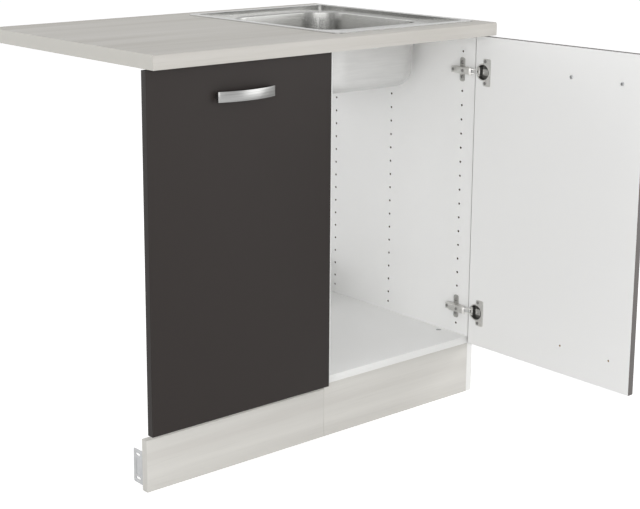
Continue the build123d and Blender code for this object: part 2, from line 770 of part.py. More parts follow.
# The arm is a channel of sheet that opens towards the cabinet's side. Its nose carries the link.
def hinge_arm(height, name):
    with BuildPart() as arm:
        with BuildSketch(Plane.XY.offset(height - arm_width / 2)) as flank:
            with BuildLine():
                Polyline(
                    (arm_face_x, arm_pivot_y),
                    (arm_pivot_x, arm_pivot_y - arm_nose),
                    (arm_pivot_x + arm_nose, arm_pivot_y),
                    (arm_root_x, carcass_front + arm_rise),
                    (arm_root_x, arm_back),
                    (arm_face_x + arm_tongue_step, arm_back),
                    (arm_face_x + arm_tongue_step, arm_back - arm_tongue),
                    (arm_face_x, arm_back - arm_tongue - arm_tongue_step),
                    close=True,
                )
            make_face()
            with Locations((arm_pivot_x, arm_pivot_y)):
                Circle(arm_nose)
        extrude(flank.sketch, amount=arm_width)
        inside_z = (height - channel, height + channel)
        inside_y = (arm_pivot_y - 2 * arm_nose, arm_back - arm_tongue - arm_tongue_step)
        block((arm_face_x + arm_sheet, inner_right), inside_y, inside_z, mode=Mode.SUBTRACT)
        tongue_y = (inside_y[1], arm_back + arm_nose)
        block((boss_x - seat_gap, inner_right), tongue_y, inside_z, mode=Mode.SUBTRACT)
        with Locations((arm_pivot_x, arm_pivot_y, height)):
            Cylinder(pin_radius + pin_fit, 2 * arm_width, mode=Mode.SUBTRACT)
        for screw_y in (front_screw_y, rear_screw_y):
            screw_hole = face_plane((arm_face_x, screw_y, height), (1, 0, 0))
            rod(screw_hole, arm_screw + hole_slack, plate_boss, mode=Mode.SUBTRACT)
    save(arm, name)


# Two cheeks with a sleeve between them at each eye. The neck bows away from the cabinet's side, so
# that it passes round the edge of the closed door.
link_half = 5.1
link_cheek = 1.5
link_bore = pin_radius + pin_fit
neck_points = ((0.55, -1.6), (0.845, -3.2))
cupward_x = (cup_pivot_x - arm_pivot_x) / link_length
cupward_y = (cup_pivot_y - arm_pivot_y) / link_length


def hinge_link(height, name):
    aim = (cupward_x, cupward_y, 0)
    base = Plane(origin=(arm_pivot_x, arm_pivot_y, height - link_half), x_dir=aim, z_dir=(0, 0, 1))
    spots = [(0, 0)] + [(share * link_length, bow) for share, bow in neck_points] + [(link_length, 0)]
    with BuildPart() as link:
        with BuildSketch(base) as cheek:
            for start, end in zip(spots, spots[1:]):
                run = math.hypot(end[0] - start[0], end[1] - start[1])
                turn = math.degrees(math.atan2(end[1] - start[1], end[0] - start[0]))
                with Locations(((start[0] + end[0]) / 2, (start[1] + end[1]) / 2)):
                    SlotCenterToCenter(run, link_width, rotation=turn)
            with Locations(spots[0], spots[-1]):
                Circle(link_eye)
        extrude(cheek.sketch, amount=link_cheek)
        extrude(cheek.sketch.moved(Location((0, 0, 2 * link_half - link_cheek))), amount=link_cheek)
        for eye_x, eye_y in ((arm_pivot_x, arm_pivot_y), (cup_pivot_x, cup_pivot_y)):
            eye_base = face_plane((eye_x, eye_y, height - link_half), (0, 0, 1))
            rod(eye_base, link_eye, 2 * link_half)
            rod(eye_base, link_bore, 2 * link_half, mode=Mode.SUBTRACT)
    save(link, name)


cup_rim = 2.0
cup_pin_half = 9.4
cup_notch = 6.5
cheek_inner = 5.6
cheek_outer = 9.8
cheek_reach = 3.4
wing_corner = 4.0
cup_screw = 1.75


def cup_plane(height):
    return Plane(
        origin=(open_face_x, open_edge_y - cup_inset, height), x_dir=(0, -1, 0), z_dir=(1, 0, 0)
    )


# The cup is let into the door, under a flange that is wider towards the door's free edge. Two cheeks
# in it hold the link's pin, and the rim is cut away where the link goes through.
def hinge_cup(height, name):
    face = cup_plane(height)
    pivot_u = open_edge_y - cup_pivot_y - cup_inset
    bore = cup_radius - cup_wall
    with BuildPart() as cup:
        with BuildSketch(face):
            Circle(cup_radius)
        extrude(amount=cup_depth)
        with BuildSketch(face):
            Circle(cup_radius + cup_rim)
            with Locations((flange_width / 2, 0)):
                RectangleRounded(flange_width, flange_height, wing_corner)
        extrude(amount=-cup_flange)
        with BuildSketch(face.offset(-cup_flange)):
            Circle(bore)
        extrude(amount=cup_flange + cup_depth - cup_wall, mode=Mode.SUBTRACT)
        for side in (-1, 1):
            with BuildSketch(face):
                Circle(bore + cup_wall / 2)
                with Locations((pivot_u, side * (cheek_inner + cheek_outer) / 2)):
                    Rectangle(2 * cheek_reach, cheek_outer - cheek_inner, mode=Mode.INTERSECT)
            extrude(amount=cup_depth - cup_wall / 2)
        with BuildSketch(face.offset(-cup_flange)):
            with Locations((-cup_radius, 0)):
                Rectangle(2 * cheek_reach, 2 * cup_notch)
        extrude(amount=cup_flange, mode=Mode.SUBTRACT)
        with Locations((cup_pivot_x, cup_pivot_y, height)):
            Cylinder(pin_radius + pin_fit, 2 * cup_pin_half, mode=Mode.SUBTRACT)
        with BuildSketch(face.offset(-cup_flange)):
            with Locations((cup_screw_offset, 0)):
                with GridLocations(cup_screw_pitch, cup_screw_pitch, 1, 2):
                    Circle(cup_screw + hole_slack)
        extrude(amount=cup_flange, mode=Mode.SUBTRACT)
    save(cup, name)


for level, height in hinge_heights.items():
    hinge_plate(height, f"{level}_hinge_plate")
    hinge_arm(height, f"{level}_hinge_arm")
    hinge_link(height, f"{level}_hinge_link")
    hinge_cup(height, f"{level}_hinge_cup")

rivet_head = 2.3
rivet_head_height = 0.6

with BuildPart() as arm_pins:
    for height in hinge_heights.values():
        half = arm_width / 2
        with Locations((arm_pivot_x, arm_pivot_y, height)):
            Cylinder(pin_radius, arm_width)
        for direction in (-1, 1):
            head_seat = (arm_pivot_x, arm_pivot_y, height + direction * half)
            rod(face_plane(head_seat, (0, 0, direction)), rivet_head, rivet_head_height)
save(arm_pins, "arm_pins")

with BuildPart() as cup_pins:
    for height in hinge_heights.values():
        with Locations((cup_pivot_x, cup_pivot_y, height)):
            Cylinder(pin_radius, 2 * cup_pin_half)
save(cup_pins, "cup_pins")

with BuildPart() as hinge_arm_screws:
    for height in hinge_heights.values():
        front_seat = face_plane((arm_face_x, front_screw_y, height), (-1, 0, 0))
        rear_seat = face_plane((arm_face_x + arm_tongue_step, rear_screw_y, height), (-1, 0, 0))
        front_reach = boss_x - arm_face_x + plate_boss / 2 - drill_point
        rear_reach = front_reach - arm_tongue_step
        pan_screw(front_seat, arm_screw_head, arm_screw_head_height, arm_screw, front_reach)
        pan_screw(rear_seat, arm_screw_head, arm_screw_head_height, arm_screw, rear_reach)
save(hinge_arm_screws, "hinge_arm_screws")

with BuildPart() as hinge_plate_screws:
    for height in hinge_heights.values():
        for row in (height - plate_screw_pitch / 2, height + plate_screw_pitch / 2):
            seat = face_plane((inner_right - plate_sheet, plate_y, row), (-1, 0, 0))
            reach = plate_sheet + plate_screw_length
            pan_screw(seat, plate_screw_head, plate_screw_head_height, plate_screw, reach)
save(hinge_plate_screws, "hinge_plate_screws")

cup_screw_head = 3.6
cup_screw_head_height = 1.2
cup_screw_length = 12.0
cup_screw_y = open_edge_y - cup_inset - cup_screw_offset
cup_screw_rows = [
    height + direction * cup_screw_pitch / 2 for height in hinge_heights.values() for direction in (-1, 1)
]

with BuildPart() as hinge_cup_screws:
    for row in cup_screw_rows:
        seat = face_plane((open_face_x - cup_flange, cup_screw_y, row), (-1, 0, 0))
        pan_screw(seat, cup_screw_head, cup_screw_head_height, cup_screw, cup_screw_length)
save(hinge_cup_screws, "hinge_cup_screws")

# ---- door, shown open by a quarter turn ----
door_y = (open_edge_y - door_width, open_edge_y)
door_x = (open_face_x, open_face_x + board)
door_handle_y = door_y[0] + handle_edge_distance + handle_pitch / 2
handle_offsets = (-handle_pitch / 2, handle_pitch / 2)
pocket_slack = 0.15


# A front board, with the edge of its strip taken off all round.
def front_board(x_span, y_span):
    with BuildPart() as front:
        block(x_span, y_span, (front_bottom, front_top))
        fillet(front.edges(), front_edge_radius)
    return front.part


with BuildPart() as door:
    add(front_board(door_x, door_y))
    for height in hinge_heights.values():
        with BuildSketch(cup_plane(height)):
            Circle(cup_radius + pocket_slack)
        extrude(amount=cup_depth + pocket_slack, mode=Mode.SUBTRACT)
    for row in cup_screw_rows:
        seat = face_plane((open_face_x, cup_screw_y, row), (-1, 0, 0))
        rod(seat, cup_screw + hole_slack, -cup_screw_length - drill_point, mode=Mode.SUBTRACT)
    for offset_y in handle_offsets:
        for row in (handle_z, spare_handle_z):
            seat = face_plane((door_x[0], door_handle_y + offset_y, row), (1, 0, 0))
            rod(seat, handle_hole, board, mode=Mode.SUBTRACT)
save(door, "door")


# ---- bow handles ----
# A flat strip bowed away from the front, on two legs with a screw's bore in each.
def bow_handle(foot, along, outward, name):
    section_plane = Plane(origin=foot, x_dir=along, z_dir=(0, 0, -1))
    half = handle_length / 2
    bow = handle_reach - handle_end_reach
    bow_radius = (half**2 + bow**2) / (2 * bow)
    leg_reach = handle_reach - handle_strip / 2
    leg_reach -= bow_radius - math.sqrt(bow_radius**2 - (handle_pitch / 2) ** 2)
    inner_end = handle_end_reach - handle_strip
    with BuildPart() as handle:
        with BuildSketch(section_plane) as strip:
            with BuildLine():
                ThreePointArc((-half, handle_end_reach), (0, handle_reach), (half, handle_end_reach))
                Line((half, handle_end_reach), (half, inner_end))
                ThreePointArc((half, inner_end), (0, handle_reach - handle_strip), (-half, inner_end))
                Line((-half, inner_end), (-half, handle_end_reach))
            make_face()
        extrude(strip.sketch, amount=handle_height / 2, both=True)
        for offset in handle_offsets:
            leg_foot = section_plane.from_local_coords((offset, 0))
            leg_plane = face_plane(tuple(leg_foot), outward)
            rod(leg_plane, handle_leg, leg_reach)
            rod(leg_plane, handle_screw_hole + hole_slack, leg_reach - drill_point, mode=Mode.SUBTRACT)
    save(handle, name)


handle_screw_head = 4.0
handle_screw_head_height = 2.4
handle_screw_grip = 8.0
handle_screw_length = board + handle_screw_grip


def handle_screws(centre, along, inward, name):
    head = (handle_screw_head, handle_screw_head_height)
    with BuildPart() as screws:
        for offset in handle_offsets:
            spot = (centre[0] + along[0] * offset, centre[1] + along[1] * offset, centre[2])
            pan_screw(face_plane(spot, inward), *head, handle_screw_hole, handle_screw_length)
    save(screws, name)


bow_handle((door_x[1], door_handle_y, handle_z), (0, 1, 0), (1, 0, 0), "door_handle")
handle_screws((door_x[0], door_handle_y, handle_z), (0, 1, 0), (-1, 0, 0), "door_handle_screws")

# ---- front of the dishwasher bay ----
bay_front_x = (worktop_left + front_side_reveal, cabinet_left - front_side_reveal)
bay_front_y = (closed_inner_face - board, closed_inner_face)
bay_handle_x = middle(bay_front_x)

with BuildPart() as bay_panel:
    add(front_board(bay_front_x, bay_front_y))
    for offset_x in handle_offsets:
        seat = face_plane((bay_handle_x + offset_x, bay_front_y[0], handle_z), (0, -1, 0))
        rod(seat, handle_hole, -board, mode=Mode.SUBTRACT)
save(bay_panel, "bay_panel")

bow_handle((bay_handle_x, bay_front_y[0], handle_z), (1, 0, 0), (0, -1, 0), "bay_handle")
handle_screws((bay_handle_x, bay_front_y[1], handle_z), (1, 0, 0), (0, 1, 0), "bay_handle_screws")

# The sizes that the joints need.
print("arm pivot", round(arm_pivot_x, 4), round(arm_pivot_y, 4))
print("cup pivot", round(cup_pivot_x, 4), round(cup_pivot_y, 4))
print("link turn for each turn of the door", round(link_ratio, 6))
print("link turn for each turn in the cup", round(link_ratio / (1 - link_ratio), 6))
print("turn in the cup to close", round(-90 * (1 - link_ratio), 3))
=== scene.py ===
import bpy
import math
from mathutils import Matrix, Vector


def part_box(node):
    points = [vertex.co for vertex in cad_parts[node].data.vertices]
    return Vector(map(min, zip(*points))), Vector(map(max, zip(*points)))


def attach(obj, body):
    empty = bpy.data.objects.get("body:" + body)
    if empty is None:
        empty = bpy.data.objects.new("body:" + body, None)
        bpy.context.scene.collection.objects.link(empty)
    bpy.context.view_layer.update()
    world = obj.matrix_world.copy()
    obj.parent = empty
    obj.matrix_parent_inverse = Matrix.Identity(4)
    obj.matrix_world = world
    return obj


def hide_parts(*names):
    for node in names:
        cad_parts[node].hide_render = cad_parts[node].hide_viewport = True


# kitchen sink unit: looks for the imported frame, door shown open

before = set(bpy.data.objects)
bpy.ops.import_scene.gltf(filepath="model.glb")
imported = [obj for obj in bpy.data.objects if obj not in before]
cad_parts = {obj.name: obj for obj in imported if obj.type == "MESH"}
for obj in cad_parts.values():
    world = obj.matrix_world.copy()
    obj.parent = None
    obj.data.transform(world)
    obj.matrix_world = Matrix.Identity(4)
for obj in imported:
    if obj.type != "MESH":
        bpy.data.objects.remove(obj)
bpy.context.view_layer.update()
print("frame loaded:", len(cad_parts), "nodes")

mm = 0.001
bpy.context.scene.view_settings.view_transform = "Standard"


# small helpers

def paint(red, green, blue):  # screen colour 0-255 to the shader's linear colour
    linear = []
    for value in (red, green, blue):
        share = value / 255
        linear.append(share / 12.92 if share <= 0.04045 else ((share + 0.055) / 1.055) ** 2.4)
    return (*linear, 1)


def only(piece):  # this piece selected and active, nothing else
    bpy.ops.object.select_all(action="DESELECT")
    piece.select_set(True)
    bpy.context.view_layer.objects.active = piece


def editing(piece, element="FACE"):
    only(piece)
    bpy.ops.object.mode_set(mode="EDIT")
    bpy.ops.mesh.select_mode(type=element)


def doneEditing():
    bpy.ops.object.mode_set(mode="OBJECT")


def pickFaces(piece, test):  # leaves the piece in edit mode with the tested faces selected
    editing(piece)
    bpy.ops.mesh.select_all(action="DESELECT")
    doneEditing()
    for face in piece.data.polygons:
        face.select = test(face.center, face.normal)
    bpy.ops.object.mode_set(mode="EDIT")


def applied(piece, kind, **settings):  # a modifier, set up and applied
    only(piece)
    bpy.ops.object.modifier_add(type=kind)
    modifier = piece.modifiers[-1]
    for name, value in settings.items():
        setattr(modifier, name, value)
    bpy.ops.object.modifier_apply(modifier=modifier.name)


def smooth(piece, angle):
    only(piece)
    bpy.ops.object.shade_smooth_by_angle(angle=math.radians(angle))


cleaning = {"weld": 0.001 * mm, "flatAngle": 0.3}


def copyOfNode(nodeName, pieceName):  # the node's mesh as one clean surface with flat faces made whole
    piece = bpy.data.objects.new(pieceName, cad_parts[nodeName].data.copy())
    bpy.context.scene.collection.objects.link(piece)
    piece.data.materials.clear()
    only(piece)
    bpy.ops.mesh.customdata_custom_splitnormals_clear()
    editing(piece)
    bpy.ops.mesh.select_all(action="SELECT")
    bpy.ops.mesh.remove_doubles(threshold=cleaning["weld"])
    bpy.ops.mesh.mark_sharp(clear=True)
    bpy.ops.mesh.dissolve_limited(angle_limit=math.radians(cleaning["flatAngle"]))
    doneEditing()
    return piece


def settle(piece, body, slotName, *nodeNames):  # what the piece rides on and which nodes it stands for
    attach(piece, body)
    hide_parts(*nodeNames)


def setFaces(piece, material, test):  # a second finish on the tested faces
    piece.data.materials.append(material)
    place = len(piece.data.materials) - 1
    for face in piece.data.polygons:
        if test(face.center, face.normal):
            face.material_index = place


# finishes

def newMaterial(name, roughness, metallic=0.0, specular=0.5):
    material = bpy.data.materials.new(name)
    material.use_nodes = True
    shader = material.node_tree.nodes["Principled BSDF"]
    shader.inputs["Roughness"].default_value = roughness
    shader.inputs["Metallic"].default_value = metallic
    shader.inputs["Specular IOR Level"].default_value = specular
    return material, material.node_tree.nodes, material.node_tree.links, shader


def plain(name, colour, roughness, specular=0.5):
    material, *_, shader = newMaterial(name, roughness, specular=specular)
    shader.inputs["Base Color"].default_value = paint(*colour)
    return material


def stretchedNoise(nodes, links, stretch, detail, where=(0, 0, 0)):
    place = nodes.new("ShaderNodeTexCoord")
    mapping = nodes.new("ShaderNodeMapping")
    mapping.inputs["Scale"].default_value = stretch
    mapping.inputs["Location"].default_value = where
    noise = nodes.new("ShaderNodeTexNoise")
    noise.inputs["Scale"].default_value = 1.0
    noise.inputs["Detail"].default_value = detail
    noise.inputs["Roughness"].default_value = 0.55
    links.new(place.outputs["Object"], mapping.inputs["Vector"])
    links.new(mapping.outputs["Vector"], noise.inputs["Vector"])
    return noise


def tones(nodes, links, source, stops):  # a colour ramp over a pattern
    ramp = nodes.new("ShaderNodeValToRGB")
    band = ramp.color_ramp
    band.elements[0].position = stops[0][0]
    band.elements[0].color = paint(*stops[0][1])
    band.elements[1].position = stops[-1][0]
    band.elements[1].color = paint(*stops[-1][1])
    for position, colour in stops[1:-1]:
        band.elements.new(position).color = paint(*colour)
    links.new(source.outputs["Fac"], ramp.inputs["Fac"])
    return ramp


def bumpFrom(nodes, links, source, shader, strength, distance):
    bump = nodes.new("ShaderNodeBump")
    bump.inputs["Strength"].default_value = strength
    bump.inputs["Distance"].default_value = distance
    links.new(source.outputs["Fac"], bump.inputs["Height"])
    links.new(bump.outputs["Normal"], shader.inputs["Normal"])


# pale timber print of the worktop and the plinth, its grain along the unit
timberLook = {
    "light": (196, 193, 188), "middle": (189, 186, 180), "dark": (179, 175, 168),
    "bandStretch": (0.9, 17, 26), "bandStops": (0.3, 0.5, 0.68), "bandPlace": (3.1, 0.4, 0.0),
    "poreStretch": (7, 240, 260), "poreStops": (0.56, 0.72), "poreShare": 0.16, "poreColour": (160, 156, 147),
    "poreDepth": 0.1 * mm, "poreBump": 0.12, "roughness": 0.46, "specular": 0.16,
}
plinthLook = dict(
    timberLook, light=(214, 212, 207), middle=(208, 206, 201), dark=(199, 196, 191),
    bandPlace=(3.1, 0.4, 2.7), poreShare=0.1)
beechLook = dict(
    timberLook, light=(214, 178, 134), middle=(200, 162, 118), dark=(186, 146, 104),
    bandStretch=(20, 200, 200), poreStretch=(40, 900, 900), poreShare=0.4, poreColour=(150, 112, 76),
    roughness=0.7, specular=0.4)


def timberPrint(name, look):
    material, nodes, links, shader = newMaterial(name, look["roughness"], specular=look["specular"])
    bands = stretchedNoise(nodes, links, look["bandStretch"], 4, look["bandPlace"])
    bandColours = (look["dark"], look["middle"], look["light"])
    bandTones = tones(nodes, links, bands, list(zip(look["bandStops"], bandColours)))
    pores = stretchedNoise(nodes, links, look["poreStretch"], 3)
    poreMask = nodes.new("ShaderNodeMapRange")
    poreMask.inputs["From Min"].default_value = look["poreStops"][0]
    poreMask.inputs["From Max"].default_value = look["poreStops"][1]
    poreMask.inputs["To Max"].default_value = look["poreShare"]
    links.new(pores.outputs["Fac"], poreMask.inputs["Value"])
    mixed = nodes.new("ShaderNodeMix")
    mixed.data_type = "RGBA"
    mixed.inputs["B"].default_value = paint(*look["poreColour"])
    links.new(poreMask.outputs["Result"], mixed.inputs["Factor"])
    links.new(bandTones.outputs["Color"], mixed.inputs["A"])
    links.new(mixed.outputs["Result"], shader.inputs["Base Color"])
    bumpFrom(nodes, links, pores, shader, look["poreBump"], look["poreDepth"])
    return material


# white board faces, with the fine pearl of a pressed film; the edge colour is a touch greyer and darkened
# further as painted shade, the hole colour is painted shade in the drilled holes
boardLook = {
    "colour": (242, 242, 241), "edge": (234, 234, 232), "core": (196, 170, 134), "hole": (112, 102, 90),
    "roughness": 0.45, "edgeRoughness": 0.4, "coreRoughness": 0.9,
    "pearlSize": (900, 900, 900), "pearlBump": 0.05, "pearlDepth": 0.05 * mm,
}


def pearlBoard(name, colour, roughness, specular=0.5):
    material, nodes, links, shader = newMaterial(name, roughness, specular=specular)
    shader.inputs["Base Color"].default_value = paint(*colour)
    pearl = stretchedNoise(nodes, links, boardLook["pearlSize"], 2)
    bumpFrom(nodes, links, pearl, shader, boardLook["pearlBump"], boardLook["pearlDepth"])
    return material


# dark matt fronts; the lighter grey for the door's outline edges is painted light, on its free edge and in
# the shaded gap at the hinge side
frontLook = {
    "colour": (43, 38, 36), "edge": (38, 34, 32), "paintedLightEdge": (96, 92, 90),
    "roughness": 0.5, "edgeRoughness": 0.45, "specular": 0.2, "paintedLightEdgeSpecular": 0.3,
}

# small parts in one colour
partLook = {
    "timberEdge": (196, 194, 188), "plinthEdge": (204, 202, 197), "edgeRoughness": 0.45, "edgeSpecular": 0.16,
    "backing": (206, 205, 202), "backingRoughness": 0.7, "rubber": (30, 30, 30), "rubberRoughness": 0.75,
    "waste": (222, 222, 220), "wasteRoughness": 0.5,
}

# sheet and bar metals: colour, roughness, brush stretch, brush depth, share of lighter and darker lines
metalLook = {
    "sink steel": ((160, 160, 158), 0.24, (14, 420, 420), 0.05, 0.03),
    "handle steel": ((150, 150, 149), 0.3, (9, 9, 1100), 0.08, 0.09),
    # lighter, rougher steel for the bowl's underside: the roughness is a matte unpolished face, the lighter
    # colour a painted reflection
    "sink underside painted reflection": ((216, 216, 215), 0.68, (12, 160, 160), 0.02, 0.02),
    "hinge nickel": ((214, 213, 210), 0.42, (300, 300, 300), 0.04, 0.03),
    # the hinge nickel made darker for the plates and spring housings: painted shade
    "hinge nickel painted shade": ((184, 183, 180), 0.36, (300, 300, 300), 0.04, 0.03),
    # the screw zinc made darker for the hinge screws: painted shade
    "hinge screw zinc painted shade": ((150, 149, 147), 0.4, (300, 300, 300), 0.04, 0.03),
    # darker nickel inside the hinge cups: painted shade in the hollow
    "hinge cup painted shade": ((132, 131, 128), 0.45, (300, 300, 300), 0.04, 0.03),
    "screw zinc": ((182, 183, 184), 0.34, (400, 400, 400), 0.05, 0.03),
    "bracket sheet": ((182, 183, 184), 0.42, (60, 60, 60), 0.05, 0.03),
}
brushSpread = {"smoothest": 0.8, "roughest": 1.25, "darkStop": 0.36, "lightStop": 0.64, "depth": 0.05 * mm}


def brushedMetal(name):
    colour, roughness, stretch, strength, spreadTone = metalLook[name]
    material, nodes, links, shader = newMaterial(name, roughness, metallic=1.0)
    lines = stretchedNoise(nodes, links, stretch, 3)
    darker = tuple(value * (1 - spreadTone) for value in colour)
    lighter = tuple(min(255, value * (1 + spreadTone)) for value in colour)
    lineTones = tones(
        nodes, links, lines, [(brushSpread["darkStop"], darker), (brushSpread["lightStop"], lighter)])
    links.new(lineTones.outputs["Color"], shader.inputs["Base Color"])
    spread = nodes.new("ShaderNodeMapRange")
    spread.inputs["To Min"].default_value = roughness * brushSpread["smoothest"]
    spread.inputs["To Max"].default_value = roughness * brushSpread["roughest"]
    links.new(lines.outputs["Fac"], spread.inputs["Value"])
    links.new(spread.outputs["Result"], shader.inputs["Roughness"])
    bumpFrom(nodes, links, lines, shader, strength, brushSpread["depth"])
    return material


# pressed wood particles where a board is cut
particleLook = {"size": (260, 260, 260), "lighter": 22, "darker": 30, "stops": (0.36, 0.5, 0.64),
                "bump": 0.3, "depth": 0.3 * mm}


def raw(name, colour):
    material, nodes, links, shader = newMaterial(name, boardLook["coreRoughness"])
    grains = stretchedNoise(nodes, links, particleLook["size"], 4)
    lighter = tuple(min(255, value + particleLook["lighter"]) for value in colour)
    darker = tuple(value - particleLook["darker"] for value in colour)
    grainTones = tones(nodes, links, grains, list(zip(particleLook["stops"], (darker, colour, lighter))))
    links.new(grainTones.outputs["Color"], shader.inputs["Base Color"])
    bumpFrom(nodes, links, grains, shader, particleLook["bump"], particleLook["depth"])
    return material


timber = timberPrint("pale timber print", timberLook)
timberPlinth = timberPrint("plinth timber print", plinthLook)
beech = timberPrint("beech dowel", beechLook)
stripFinish = (partLook["edgeRoughness"], partLook["edgeSpecular"])
timberEdge = plain("timber edge strip", partLook["timberEdge"], *stripFinish)
plinthEdge = plain("plinth edge strip", partLook["plinthEdge"], *stripFinish)
whiteBoard = pearlBoard("white board", boardLook["colour"], boardLook["roughness"])
# edge strip a touch greyer than the face and darkened further: painted shade against the strong front light
whiteEdgePaintedShade = plain("white edge strip painted shade", boardLook["edge"], boardLook["edgeRoughness"])
rawBoard = raw("cut board", boardLook["core"])
# hole walls are the same cut board, darkened as painted shade for the hollows
holePaintedShade = raw("hole wall painted shade", boardLook["hole"])
backing = plain("grey backing sheet", partLook["backing"], partLook["backingRoughness"])
darkFront = pearlBoard("dark matt front", frontLook["colour"], frontLook["roughness"], frontLook["specular"])
darkEdge = pearlBoard("dark edge strip", frontLook["edge"], frontLook["edgeRoughness"], frontLook["specular"])
# lighter grey on the door's outline edges: painted light, the edge band itself is dark
paintedLightEdge = pearlBoard(
    "painted light edge strip", frontLook["paintedLightEdge"], frontLook["edgeRoughness"], frontLook["paintedLightEdgeSpecular"])
sinkSteel = brushedMetal("sink steel")
handleSteel = brushedMetal("handle steel")
undersidePaintedReflection = brushedMetal("sink underside painted reflection")
nickel = brushedMetal("hinge nickel")
nickelPaintedShade = brushedMetal("hinge nickel painted shade")
hingeScrewPaintedShade = brushedMetal("hinge screw zinc painted shade")
cupPaintedShade = brushedMetal("hinge cup painted shade")
zinc = brushedMetal("screw zinc")
galvanised = brushedMetal("bracket sheet")
rubber = plain("black rubber", partLook["rubber"], partLook["rubberRoughness"])
wastePlastic = plain("white waste plastic", partLook["waste"], partLook["wasteRoughness"])
print("finishes made")


# boards

boardShape = {
    "edgeRadius": 0.35 * mm, "segments": 2, "touch": 0.01 * mm, "stripReach": 1.2 * mm, "skin": 0.3 * mm,
    "smoothAngle": 30,
}


# Only the board's own outline is rounded: edges that lie on two faces of its box.
def roundOutline(piece):
    points = [vertex.co for vertex in piece.data.vertices]
    low = [min(point[axis] for point in points) for axis in range(3)]
    high = [max(point[axis] for point in points) for axis in range(3)]

    def onOutline(start, end):
        sides = 0
        for axis in range(3):
            for limit in (low[axis], high[axis]):
                touch = boardShape["touch"]
                if abs(start[axis] - limit) < touch and abs(end[axis] - limit) < touch:
                    sides += 1
        return sides >= 2

    editing(piece, "EDGE")
    bpy.ops.mesh.select_all(action="DESELECT")
    doneEditing()
    for edge in piece.data.edges:
        start, end = (points[index] for index in edge.vertices)
        edge.select = onOutline(start, end)
    bpy.ops.object.mode_set(mode="EDIT")
    bpy.ops.mesh.bevel(offset=boardShape["edgeRadius"], segments=boardShape["segments"], affect="EDGES")
    doneEditing()


def makeBoard(nodeName, pieceName, slotName, faces, edges):
    board = copyOfNode(nodeName, pieceName)
    board.data.materials.append(faces)
    low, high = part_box(nodeName)
    sizes = high - low
    thin = min(range(3), key=lambda axis: sizes[axis])
    roundOutline(board)
    reach = [boardShape["skin"] if axis == thin else boardShape["stripReach"] for axis in range(3)]
    setFaces(board, edges, lambda centre, normal: abs(normal[thin]) < 0.3 and (
        min(abs(centre[axis] - limit[axis]) for axis in range(3) for limit in (low, high)
            if axis != thin) < boardShape["stripReach"]))
    # faces deep inside the board's box are hole walls and take the painted shade
    setFaces(board, holePaintedShade, lambda centre, normal: all(
        low[axis] + reach[axis] < centre[axis] < high[axis] - reach[axis] for axis in range(3)))
    smooth(board, boardShape["smoothAngle"])
    settle(board, "cabinet", slotName, nodeName)


for nodeName, pieceName in (
        ("side_left", "leftSide"), ("side_right", "rightSide"), ("bottom_panel", "cabinetFloor"),
        ("rear_rail_top", "topRearRail"), ("rear_rail_bottom", "bottomRearRail")):
    makeBoard(nodeName, pieceName, "white_board", whiteBoard, whiteEdgePaintedShade)
makeBoard("cabinet_plinth", "cabinetPlinth", "plinth_laminate", timberPlinth, plinthEdge)
makeBoard("bay_plinth", "bayPlinth", "plinth_laminate", timberPlinth, plinthEdge)
print("boards made")


# fronts: dark outside and on the edges, white inside; the door's outline edges get a lighter grey that is
# painted light
def makeFront(nodeName, pieceName, body, inward, litEdge):
    front = copyOfNode(nodeName, pieceName)
    front.data.materials.append(darkFront)
    low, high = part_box(nodeName)
    depth = min(range(3), key=lambda axis: (high - low)[axis])
    reach = boardShape["stripReach"]
    setFaces(front, darkEdge, lambda centre, normal: abs(normal[depth]) < 0.6)
    setFaces(front, whiteBoard, lambda centre, normal: normal.dot(inward) > 0.4)
    setFaces(front, rawBoard, lambda centre, normal: all(
        low[axis] + reach < centre[axis] < high[axis] - reach for axis in range(3)))
    # outline edges take litEdge: the painted light grey on the door, the plain dark strip on the bay front
    setFaces(front, litEdge, lambda centre, normal: abs(normal[depth]) < 0.6 and not (
        low.z + mm < centre.z < high.z - mm and low.y + mm < centre.y < high.y - mm))
    smooth(front, boardShape["smoothAngle"])
    settle(front, body, "dark_front", nodeName)


makeFront("door", "doorPanel", "door", Vector((-1, 0, 0)), paintedLightEdge)
makeFront("bay_panel", "bayPanel", "bay_front", Vector((0, 1, 0)), darkEdge)
print("fronts made")

# worktop

worktopShape = {"frontRound": 5 * mm}

worktop = copyOfNode("worktop", "worktopBoard")
worktop.data.materials.append(timber)
worktopLow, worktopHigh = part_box("worktop")
setFaces(worktop, backing, lambda centre, normal: normal.z < -0.9)
setFaces(worktop, rawBoard, lambda centre, normal: abs(normal.z) < 0.3 and (
    worktopLow.x + mm < centre.x < worktopHigh.x - mm
    and worktopLow.y + worktopShape["frontRound"] < centre.y < worktopHigh.y - mm))
smooth(worktop, boardShape["smoothAngle"])
settle(worktop, "cabinet", "worktop_laminate", "worktop")

endStrips = copyOfNode("worktop_end_strips", "worktopEndStrips")
endStrips.data.materials.append(timberEdge)
smooth(endStrips, boardShape["smoothAngle"])
settle(endStrips, "cabinet", "worktop_edge", "worktop_end_strips")
print("worktop made")


# pieces that keep the frame's own form, with their edges eased

easing = {
    "clips": 0.2 * mm, "pins": 0.15 * mm, "links": 0.15 * mm, "plates": 0.3 * mm, "arms": 0.25 * mm,
    "cups": 0.12 * mm, "handles": 0.4 * mm, "segments": 2, "angle": 40, "smoothAngle": 32,
}


def easedCopy(nodeName, pieceName, body, slotName, material, radius=0.0):
    piece = copyOfNode(nodeName, pieceName)
    piece.data.materials.append(material)
    if radius:
        applied(piece, "BEVEL", width=radius, segments=easing["segments"], limit_method="ANGLE",
                angle_limit=math.radians(easing["angle"]))
    smooth(piece, easing["smoothAngle"])
    settle(piece, body, slotName, nodeName)
    return piece


